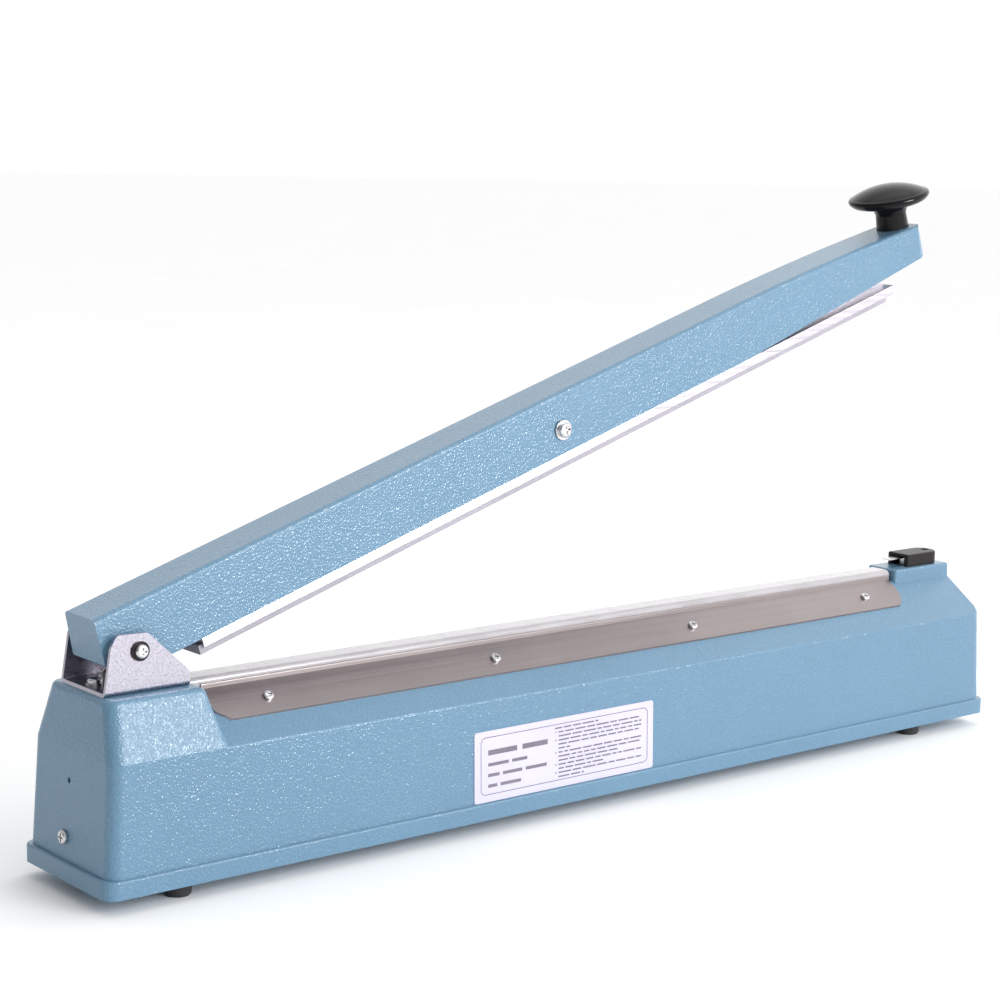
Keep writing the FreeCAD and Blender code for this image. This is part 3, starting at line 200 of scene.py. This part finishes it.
def ramp(tree, value, stops):
    node = tree.nodes.new("ShaderNodeValToRGB")
    points = node.color_ramp.elements
    while len(points) < len(stops):
        points.new(0.5)
    for point, (at, colour) in zip(points, stops):
        point.position = at
        point.color = (*colour, 1.0)
    tree.links.new(value, node.inputs["Fac"])
    return node.outputs["Color"]


def grey(value):
    return (value, value, value)


def maths(tree, operation, a, b):
    node = tree.nodes.new("ShaderNodeMath")
    node.operation = operation
    for socket, value in zip(node.inputs, (a, b)):
        if isinstance(value, (int, float)):
            socket.default_value = value
        else:
            tree.links.new(value, socket)
    return node.outputs["Value"]


def bump(tree, shader, height, distance, strength=1.0, socket="Normal"):
    node = tree.nodes.new("ShaderNodeBump")
    node.inputs["Strength"].default_value = strength
    node.inputs["Distance"].default_value = distance
    tree.links.new(height, node.inputs["Height"])
    tree.links.new(node.outputs["Normal"], shader.inputs[socket])


def coordinate(tree, axis):
    split = tree.nodes.new("ShaderNodeSeparateXYZ")
    tree.links.new(position(tree), split.inputs["Vector"])
    return split.outputs[axis]


def wave(tree, value, pitch):
    """A sine along the value, with this pitch in metres."""
    return maths(tree, "SINE", maths(tree, "MULTIPLY", value, 2 * math.pi / pitch), 0.0)


def weighted_sum(tree, first, share, second, other_share):
    one = maths(tree, "MULTIPLY", first, share)
    other = maths(tree, "MULTIPLY", second, other_share)
    return maths(tree, "ADD", one, other)


def shades(colour, spread):
    """A darker and a lighter version of a colour."""
    dark = tuple(channel * (1 - spread) for channel in colour)
    light = tuple(min(1.0, channel * (1 + spread)) for channel in colour)
    return dark, light


def colour_between(tree, shader, value, dark, light, ends=(0.3, 0.7)):
    tree.links.new(ramp(tree, value, list(zip(ends, (dark, light)))), shader.inputs["Base Color"])


def rough_between(tree, shader, value, low, high):
    tree.links.new(ramp(tree, value, [(0.3, grey(low)), (0.7, grey(high))]), shader.inputs["Roughness"])


# ---- materials --------------------------------------------------------------------------------------

PAINT_BLUE = (0.125, 0.240, 0.351)
SWELLS_PER_M = 580.0
DIMPLES_PER_M = 780.0
SKIN_DEPTH = 0.24 * MM
COAT_DEPTH = 0.45 * MM


def hammered_paint():
    """Stove enamel with a hammered skin: dimples a little over a millimetre apart, their rims painted
    lighter as a painted highlight.
    """
    material, tree, shader = new_material("hammered_paint")
    place = position(tree)
    swells = noise(tree, place, SWELLS_PER_M, 2.0)
    dimples = cells(tree, place, DIMPLES_PER_M, 0.3)
    fine = noise(tree, place, 1900.0, 2.0)
    broad = noise(tree, place, 14.0, 3.0)
    dark, light = shades(PAINT_BLUE, 0.05)
    # colour: a random broad tone plus a painted highlight along the dimple rims
    mixed = weighted_sum(tree, broad, 0.5, dimples, 0.55)
    colour_between(tree, shader, mixed, dark, light, (0.35, 0.75))
    rough_between(tree, shader, fine, 0.30, 0.42)
    shader.inputs["Specular IOR Level"].default_value = 0.22
    shader.inputs["Coat Weight"].default_value = 0.40
    shader.inputs["Coat Roughness"].default_value = 0.08
    height = maths(tree, "ADD", dimples, maths(tree, "MULTIPLY", swells, 0.6))
    bump(tree, shader, height, SKIN_DEPTH, 0.6)
    bump(tree, shader, height, COAT_DEPTH, 0.9, "Coat Normal")
    return material


def plated(name, colour, rough, spangle, spread=0.10):
    """Bright zinc or nickel over steel, with faint clouding."""
    material, tree, shader = new_material(name)
    place = position(tree)
    cloud = noise(tree, place, spangle, 4.0)
    fine = noise(tree, place, 1800.0, 2.0)
    dark, light = shades(colour, spread)
    colour_between(tree, shader, cloud, dark, light)
    shader.inputs["Metallic"].default_value = 1.0
    rough_between(tree, shader, cloud, rough * 0.8, rough * 1.3)
    bump(tree, shader, fine, 0.03 * MM, 0.5)
    return material


GRAIN_STRETCH = (4.0, 900.0, 900.0)


def brushed(name, colour, rough):
    """Rolled or extruded metal with a grain that runs along X."""
    material, tree, shader = new_material(name)
    grain = noise(tree, position(tree, GRAIN_STRETCH), 1.0, 4.0, 0.6)
    broad = noise(tree, position(tree), 20.0, 3.0)
    dark, light = shades(colour, 0.10)
    mixed = weighted_sum(tree, grain, 0.6, broad, 0.4)
    colour_between(tree, shader, mixed, dark, light, (0.35, 0.65))
    shader.inputs["Metallic"].default_value = 1.0
    rough_between(tree, shader, grain, rough * 0.8, rough * 1.25)
    bump(tree, shader, grain, 0.04 * MM, 0.5)
    return material


THREAD_PITCH = 0.6 * MM
CLOTH_DARK = (0.355, 0.335, 0.350)
CLOTH_LIGHT = (0.43, 0.412, 0.432)


def coated_cloth():
    """Glass cloth under a glossy coating: a fine plain weave that shows only as a sheen."""
    material, tree, shader = new_material("coated_cloth")
    warp = wave(tree, coordinate(tree, "X"), THREAD_PITCH)
    weft = wave(tree, maths(tree, "ADD", coordinate(tree, "Y"), coordinate(tree, "Z")), THREAD_PITCH)
    weave = maths(tree, "MULTIPLY", warp, weft)
    use = noise(tree, position(tree, (1.0, 6.0, 6.0)), 30.0, 4.0)
    colour_between(tree, shader, use, CLOTH_DARK, CLOTH_LIGHT)
    rough_between(tree, shader, use, 0.22, 0.34)
    shader.inputs["Coat Weight"].default_value = 0.5
    shader.inputs["Coat Roughness"].default_value = 0.15
    bump(tree, shader, weave, 0.02 * MM, 0.35)
    return material


def moulded(name, colour, rough, grain_scale=1400.0, depth=0.05 * MM, coat=0.0, shine=0.5):
    """A moulded plastic or rubber with a fine skin."""
    material, tree, shader = new_material(name)
    place = position(tree)
    skin = noise(tree, place, grain_scale, 3.0)
    broad = noise(tree, place, 60.0, 2.0)
    dark, light = shades(colour, 0.12)
    colour_between(tree, shader, broad, dark, light)
    rough_between(tree, shader, skin, rough * 0.88, rough * 1.12)
    shader.inputs["Specular IOR Level"].default_value = shine
    shader.inputs["Coat Weight"].default_value = coat
    shader.inputs["Coat Roughness"].default_value = 0.06
    bump(tree, shader, skin, depth, 0.5)
    return material


SILICONE_DARK = (0.33, 0.31, 0.365)
SILICONE_LIGHT = (0.39, 0.37, 0.43)


def silicone_rubber():
    material, tree, shader = new_material("silicone_rubber")
    place = position(tree, (0.3, 1.0, 1.0))
    cloud = noise(tree, place, 70.0, 4.0)
    skin = noise(tree, position(tree), 1300.0, 2.0)
    colour_between(tree, shader, cloud, SILICONE_DARK, SILICONE_LIGHT)
    rough_between(tree, shader, skin, 0.5, 0.62)
    shader.inputs["Subsurface Weight"].default_value = 0.08
    shader.inputs["Subsurface Radius"].default_value = (0.002, 0.0018, 0.002)
    shader.inputs["Subsurface Scale"].default_value = 0.5
    bump(tree, shader, skin, 0.04 * MM, 0.5)
    return material


def red_lens():
    material, tree, shader = new_material("red_lens")
    cloud = noise(tree, position(tree), 300.0, 2.0)
    colour_between(tree, shader, cloud, (0.55, 0.012, 0.010), (0.72, 0.025, 0.018))
    shader.inputs["Roughness"].default_value = 0.12
    shader.inputs["Transmission Weight"].default_value = 0.25
    shader.inputs["Coat Weight"].default_value = 0.6
    bump(tree, shader, cloud, 0.05 * MM, 0.3)
    return material


PLATE_PITCH = 0.5 * MM
TURN_PITCH = 1.1 * MM


def laminations():
    """Varnished core plates, half a millimetre each, stacked across the tray."""
    material, tree, shader = new_material("laminations")
    plates = wave(tree, coordinate(tree, "Y"), PLATE_PITCH)
    rust = noise(tree, position(tree), 120.0, 4.0)
    colour_between(tree, shader, rust, (0.10, 0.095, 0.09), (0.20, 0.18, 0.165))
    shader.inputs["Metallic"].default_value = 0.7
    rough_between(tree, shader, rust, 0.45, 0.6)
    bump(tree, shader, plates, 0.08 * MM, 0.6)
    return material


def winding():
    """Enamelled copper wire under tape: fine turns one above the other."""
    material, tree, shader = new_material("winding")
    turns = wave(tree, coordinate(tree, "Z"), TURN_PITCH)
    cloud = noise(tree, position(tree), 90.0, 3.0)
    colour_between(tree, shader, cloud, (0.42, 0.15, 0.04), (0.60, 0.25, 0.08))
    shader.inputs["Metallic"].default_value = 0.6
    rough_between(tree, shader, cloud, 0.28, 0.4)
    bump(tree, shader, turns, 0.2 * MM, 0.7)
    return material


def label_film():
    """White printed film with a faint cool cast."""
    material, tree, shader = new_material("label_film")
    cloud = noise(tree, position(tree), 25.0, 3.0)
    fine = noise(tree, position(tree), 2200.0, 2.0)
    colour_between(tree, shader, cloud, (0.56, 0.535, 0.68), (0.60, 0.58, 0.72))
    rough_between(tree, shader, fine, 0.36, 0.46)
    bump(tree, shader, fine, 0.01 * MM, 0.4)
    return material


def make_materials():
    black_skin = dict(grain_scale=1100.0, depth=0.08 * MM)
    return {
        "hammered_paint": hammered_paint(),
        "zinc_plate": plated("zinc_plate", (0.405, 0.388, 0.445), 0.30, 950.0, 0.16),
        "stainless": brushed("stainless", (0.285, 0.250, 0.250), 0.36),
        "screw_steel": plated("screw_steel", (0.62, 0.61, 0.62), 0.22, 400.0),
        "aluminium": brushed("aluminium", (0.61, 0.585, 0.63), 0.32),
        "ptfe_glass_cloth": coated_cloth(),
        "silicone": silicone_rubber(),
        "black_rubber": moulded("black_rubber", (0.022, 0.022, 0.024), 0.62, **black_skin),
        "knob_plastic": moulded("knob_plastic", (0.006, 0.005, 0.006), 0.17, 700.0, 0.02 * MM, shine=0.17),
        "black_plastic": moulded("black_plastic", (0.014, 0.011, 0.013), 0.40, shine=0.2, **black_skin),
        "brass": plated("brass", (0.72, 0.52, 0.22), 0.25, 200.0),
        "nylon": moulded("nylon", (0.72, 0.70, 0.64), 0.45),
        "lamination": laminations(),
        "winding": winding(),
        "insulation": moulded("insulation", (0.62, 0.50, 0.24), 0.55),
        "circuit_board": moulded("circuit_board", (0.03, 0.16, 0.07), 0.35, coat=0.3),
        "resistance_alloy": brushed("resistance_alloy", (0.40, 0.37, 0.35), 0.4),
        "label_foil": label_film(),
        "red_lens": red_lens(),
        "wire_insulation": moulded("wire_insulation", (0.55, 0.05, 0.03), 0.4),
    }


def dress_nodes(materials):
    """Give every CAD node the material of its slot in the record."""
    slots = {row["node"]: row["material_slot"] for row in frame["record"]["subparts"]}
    for name, node in NODES.items():
        node.data.materials.clear()
        node.data.materials.append(materials[slots[name]])


# ---- pieces -----------------------------------------------------------------------------------------

def add_piece(name, points, faces, material, smooth=False):
    mesh = bpy.data.meshes.new(name)
    mesh.from_pydata(points, [], faces)
    mesh.materials.append(material)
    for face in mesh.polygons:
        face.use_smooth = smooth
    piece = bpy.data.objects.new(name, mesh)
    bpy.context.scene.collection.objects.link(piece)
    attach(piece, "base")
    return piece


def corners_of(node):
    return (Vector(corner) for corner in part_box(node))


CLOTH_ROUND = 2.6 * MM
CLOTH_CROWN = 0.30 * MM
CLOTH_WAVE = 0.05 * MM
CLOTH_SINK = 0.02 * MM
CLOTH_ROWS = 220
RISE_STEPS = 6
ROUND_STEPS = 8
TOP_STEPS = 12

# the cloth's waves, in radians per metre along the bed and across it
LONG_WAVE = 97
SHORT_WAVE = 310
SHORT_SKEW = 90
FINE_WAVE = 720
FINE_SKEW = 260
FINE_SHARE = 0.6


def cloth_section(low, high):
    """The cloth's line across the bed: up the front, over the rounded top and down the back."""
    r = CLOTH_ROUND
    front = [(low.y, low.z + (high.z - r - low.z) * k / RISE_STEPS) for k in range(RISE_STEPS)]
    for k in range(ROUND_STEPS + 1):
        turn = math.pi / 2 * k / ROUND_STEPS
        front.append((low.y + r - r * math.cos(turn), high.z - r + r * math.sin(turn)))
    flat = high.y - low.y - 2 * r
    top = [(low.y + r + flat * k / TOP_STEPS, high.z) for k in range(1, TOP_STEPS)]
    back = [(low.y + high.y - y, z) for y, z in front]
    return front + top + back[::-1]


def ripple(x, y):
    coarse = math.sin(x * SHORT_WAVE + y * SHORT_SKEW) * math.sin(x * LONG_WAVE + 1.3)
    return coarse + FINE_SHARE * math.sin(x * FINE_WAVE - y * FINE_SKEW)


def cloth_on_bed(material):
    """The coated glass cloth, pulled over the bed, with the slight waves of a used one."""
    low, high = corners_of("ptfe_cloth")
    section = cloth_section(low, high)
    length = high.x - low.x
    points = []
    for row in range(CLOTH_ROWS + 1):
        x = low.x + length * row / CLOTH_ROWS
        crown = CLOTH_CROWN * math.sin(math.pi * row / CLOTH_ROWS)
        for y, z in section:
            up = max(0.0, (z - low.z) / (high.z - low.z))
            lift = up * (crown - CLOTH_WAVE + CLOTH_WAVE * ripple(x, y))
            points.append((x, y, z + lift - CLOTH_SINK))
    across = len(section)
    faces = []
    for row in range(CLOTH_ROWS):
        for k in range(across - 1):
            a = row * across + k
            faces.append((a, a + across, a + across + 1, a + 1))
    cloth = add_piece("bed_cloth", points, faces, material, smooth=True)
    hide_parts("ptfe_cloth")


SPRING_TURNS = 5.5
SPRING_WIRE = 0.8 * MM                # radius of the wire
WIRE_SIDES = 12
WIRE_RINGS = 176


def wire_faces():
    last = WIRE_RINGS * WIRE_SIDES
    faces = [tuple(range(WIRE_SIDES)), tuple(range(last, last + WIRE_SIDES))[::-1]]
    for ring in range(WIRE_RINGS):
        for side in range(WIRE_SIDES):
            a = ring * WIRE_SIDES + side
            b = ring * WIRE_SIDES + (side + 1) % WIRE_SIDES
            faces.append((a, a + WIRE_SIDES, b + WIRE_SIDES, b))
    return faces


def coil_spring(material):
    """The return spring under the arm's tail."""
    low, high = corners_of("return_spring")
    foot = Vector(((low.x + high.x) / 2, (low.y + high.y) / 2, low.z))
    radius = (high.x - low.x) / 2 - SPRING_WIRE
    rise = high.z - low.z - 2 * SPRING_WIRE
    slope = rise / (2 * math.pi * SPRING_TURNS * radius)
    points = []
    for ring in range(WIRE_RINGS + 1):
        turn = 2 * math.pi * SPRING_TURNS * ring / WIRE_RINGS
        outward = Vector((math.cos(turn), math.sin(turn), 0.0))
        onward = Vector((-math.sin(turn), math.cos(turn), slope)).normalized()
        upward = outward.cross(onward)
        height = SPRING_WIRE + rise * ring / WIRE_RINGS
        middle = foot + outward * radius + Vector((0.0, 0.0, height))
        for side in range(WIRE_SIDES):
            a = 2 * math.pi * side / WIRE_SIDES
            points.append(middle + (outward * math.cos(a) + upward * math.sin(a)) * SPRING_WIRE)
    spring = add_piece("coil_spring", points, wire_faces(), material, smooth=True)
    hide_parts("return_spring")
    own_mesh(spring)


WALL_LEAN = 1.5 / 55.6                # the front and back walls lean in by this much per unit of height
CORNER_STEPS = 6

# a line of print, in shares of its height: its bars' thickness, the gap, the shortest word and the spread
STROKE = 0.62
WORD_GAP = 0.8
WORD_SHORT = 2.0
WORD_SPREAD = 5.0


class Bars:
    """Flat printed bars on the leaning front or back wall; u runs to the reader's right and v up."""

    def __init__(self, corner, side, lift):
        self.corner, self.side, self.lift = corner, side, lift
        self.points, self.faces = [], []

    def spot(self, u, v):
        x = self.corner.x + u if self.side < 0 else self.corner.x - u
        y = self.corner.y + self.side * (self.lift - v * WALL_LEAN)
        return (x, y, self.corner.z + v)

    def face(self, corners):
        start = len(self.points)
        self.points += [self.spot(u, v) for u, v in corners]
        self.faces.append(tuple(range(start, start + len(corners))))

    def bar(self, u0, u1, v0, v1):
        self.face([(u0, v0), (u1, v0), (u1, v1), (u0, v1)])

    def frame(self, u0, u1, v0, v1, r, line):
        """A thin rounded border."""
        outer, inner = [], []
        centres = ((u1 - r, v1 - r), (u0 + r, v1 - r), (u0 + r, v0 + r), (u1 - r, v0 + r))
        for corner, (cu, cv) in enumerate(centres):
            for k in range(CORNER_STEPS + 1):
                turn = math.radians(90 * corner + 90 * k / CORNER_STEPS)
                outer.append((cu + r * math.cos(turn), cv + r * math.sin(turn)))
                inner.append((cu + (r - line) * math.cos(turn), cv + (r - line) * math.sin(turn)))
        count = len(outer)
        for k in range(count):
            n = (k + 1) % count
            self.face([outer[k], outer[n], inner[n], inner[k]])

    def words(self, u0, u1, v, height, seed):
        """A line of print as word-long bars; the seed sets how long each is."""
        u = u0
        k = seed
        while u < u1 - height:
            k = (k * 73 + 41) % 101
            end = min(u1, u + height * (WORD_SHORT + WORD_SPREAD * k / 100))
            self.bar(u, end, v, v + height * STROKE)
            u = end + height * WORD_GAP


# margins, corner and line of the label's printed border
BORDER_SIDE = 4.2 * MM
BORDER_LOW = 3.9 * MM
BORDER_HIGH = 3.3 * MM
BORDER_ROUND = 3.2 * MM
BORDER_LINE = 0.42 * MM
PRINT_LIFT = 0.06 * MM

# shares of the label's width and height
TITLE_LEFT = 0.072
TITLE_RIGHT = 0.395
TITLE_LEVEL = 0.655
RATING_ROWS = ((0.50, 0.31, 3), (0.35, 0.39, 19), (0.20, 0.27, 23))      # level, right end, seed
NOTE_HEADING = 0.435
NOTE_LEFT = 0.455
NOTE_RIGHT = (0.68, 0.915, 0.93, 0.93, 0.93, 0.52, 0.93, 0.92, 0.80, 0.93, 0.72, 0.93, 0.60)
NOTE_TOP = 0.845
NOTE_PITCH = 0.0585
NOTE_BULLETS = (1, 3, 6, 9, 11)
BULLET = (0.437, 0.443)

TITLE_PRINT = 4.6 * MM
RATING_PRINT = 2.9 * MM
NOTE_PRINT = 1.35 * MM
BULLET_PRINT = 0.9 * MM


def label_print(ink):
    """A border, a title with three rows of ratings, and a column of notes, all as plain bars."""
    low, high = corners_of("rating_label")
    width, height = high.x - low.x, high.z - low.z
    bars = Bars(low, -1, PRINT_LIFT)
    right, top = width - BORDER_SIDE, height - BORDER_HIGH
    bars.frame(BORDER_SIDE, right, BORDER_LOW, top, BORDER_ROUND, BORDER_LINE)
    left = TITLE_LEFT * width
    bars.words(left, TITLE_RIGHT * width, TITLE_LEVEL * height, TITLE_PRINT, 7)
    for level, end, seed in RATING_ROWS:
        bars.words(left, end * width, level * height, RATING_PRINT, seed)
    for k, end in enumerate(NOTE_RIGHT):
        v = height * (NOTE_TOP - NOTE_PITCH * k)
        indent = NOTE_HEADING if k == 0 else NOTE_LEFT
        bars.words(indent * width, end * width, v, NOTE_PRINT, 11 + 8 * k)
        if k in NOTE_BULLETS:
            bars.bar(BULLET[0] * width, BULLET[1] * width, v, v + BULLET_PRINT)
    add_piece("label_print", bars.points, bars.faces, ink)


SCALE_LIFT = 0.05 * MM
SCALE_MARKS = 10
SCALE_START = 225
SCALE_SPAN = 270
END_MARK = 0.55 * MM
PLAIN_MARK = 0.3 * MM
MARK_NEAR = 0.8 * MM
MARK_FAR = 2.6 * MM


def dial_scale(ink):
    """Ten marks round the dial, the thicker ones at the ends of its travel."""
    low, high = corners_of("dial_plate")
    dial_low, dial_high = corners_of("timer_dial")
    hub_u = high.x - (dial_low.x + dial_high.x) / 2
    hub_v = (dial_low.z + dial_high.z) / 2 - low.z
    hub = Vector((hub_u, hub_v))
    reach = (dial_high.x - dial_low.x) / 2
    bars = Bars(Vector((high.x, high.y, low.z)), 1, SCALE_LIFT)
    last = SCALE_MARKS - 1
    for k in range(SCALE_MARKS):
        turn = math.radians(SCALE_START - SCALE_SPAN * k / last)
        along = Vector((math.cos(turn), math.sin(turn)))
        across = Vector((-along.y, along.x)) * (END_MARK if k in (0, last) else PLAIN_MARK)
        near, far = hub + along * (reach + MARK_NEAR), hub + along * (reach + MARK_FAR)
        bars.face([near - across, far - across, far + across, near + across])
    add_piece("dial_scale", bars.points, bars.faces, ink)


shown = make_materials()
ink = moulded("print_ink", (0.165, 0.140, 0.185), 0.55, 900.0, 0.01 * MM)
make_camera()
make_studio()
dress_nodes(shown)
cloth_on_bed(shown["ptfe_glass_cloth"])
coil_spring(shown["screw_steel"])
label_print(ink)
dial_scale(ink)
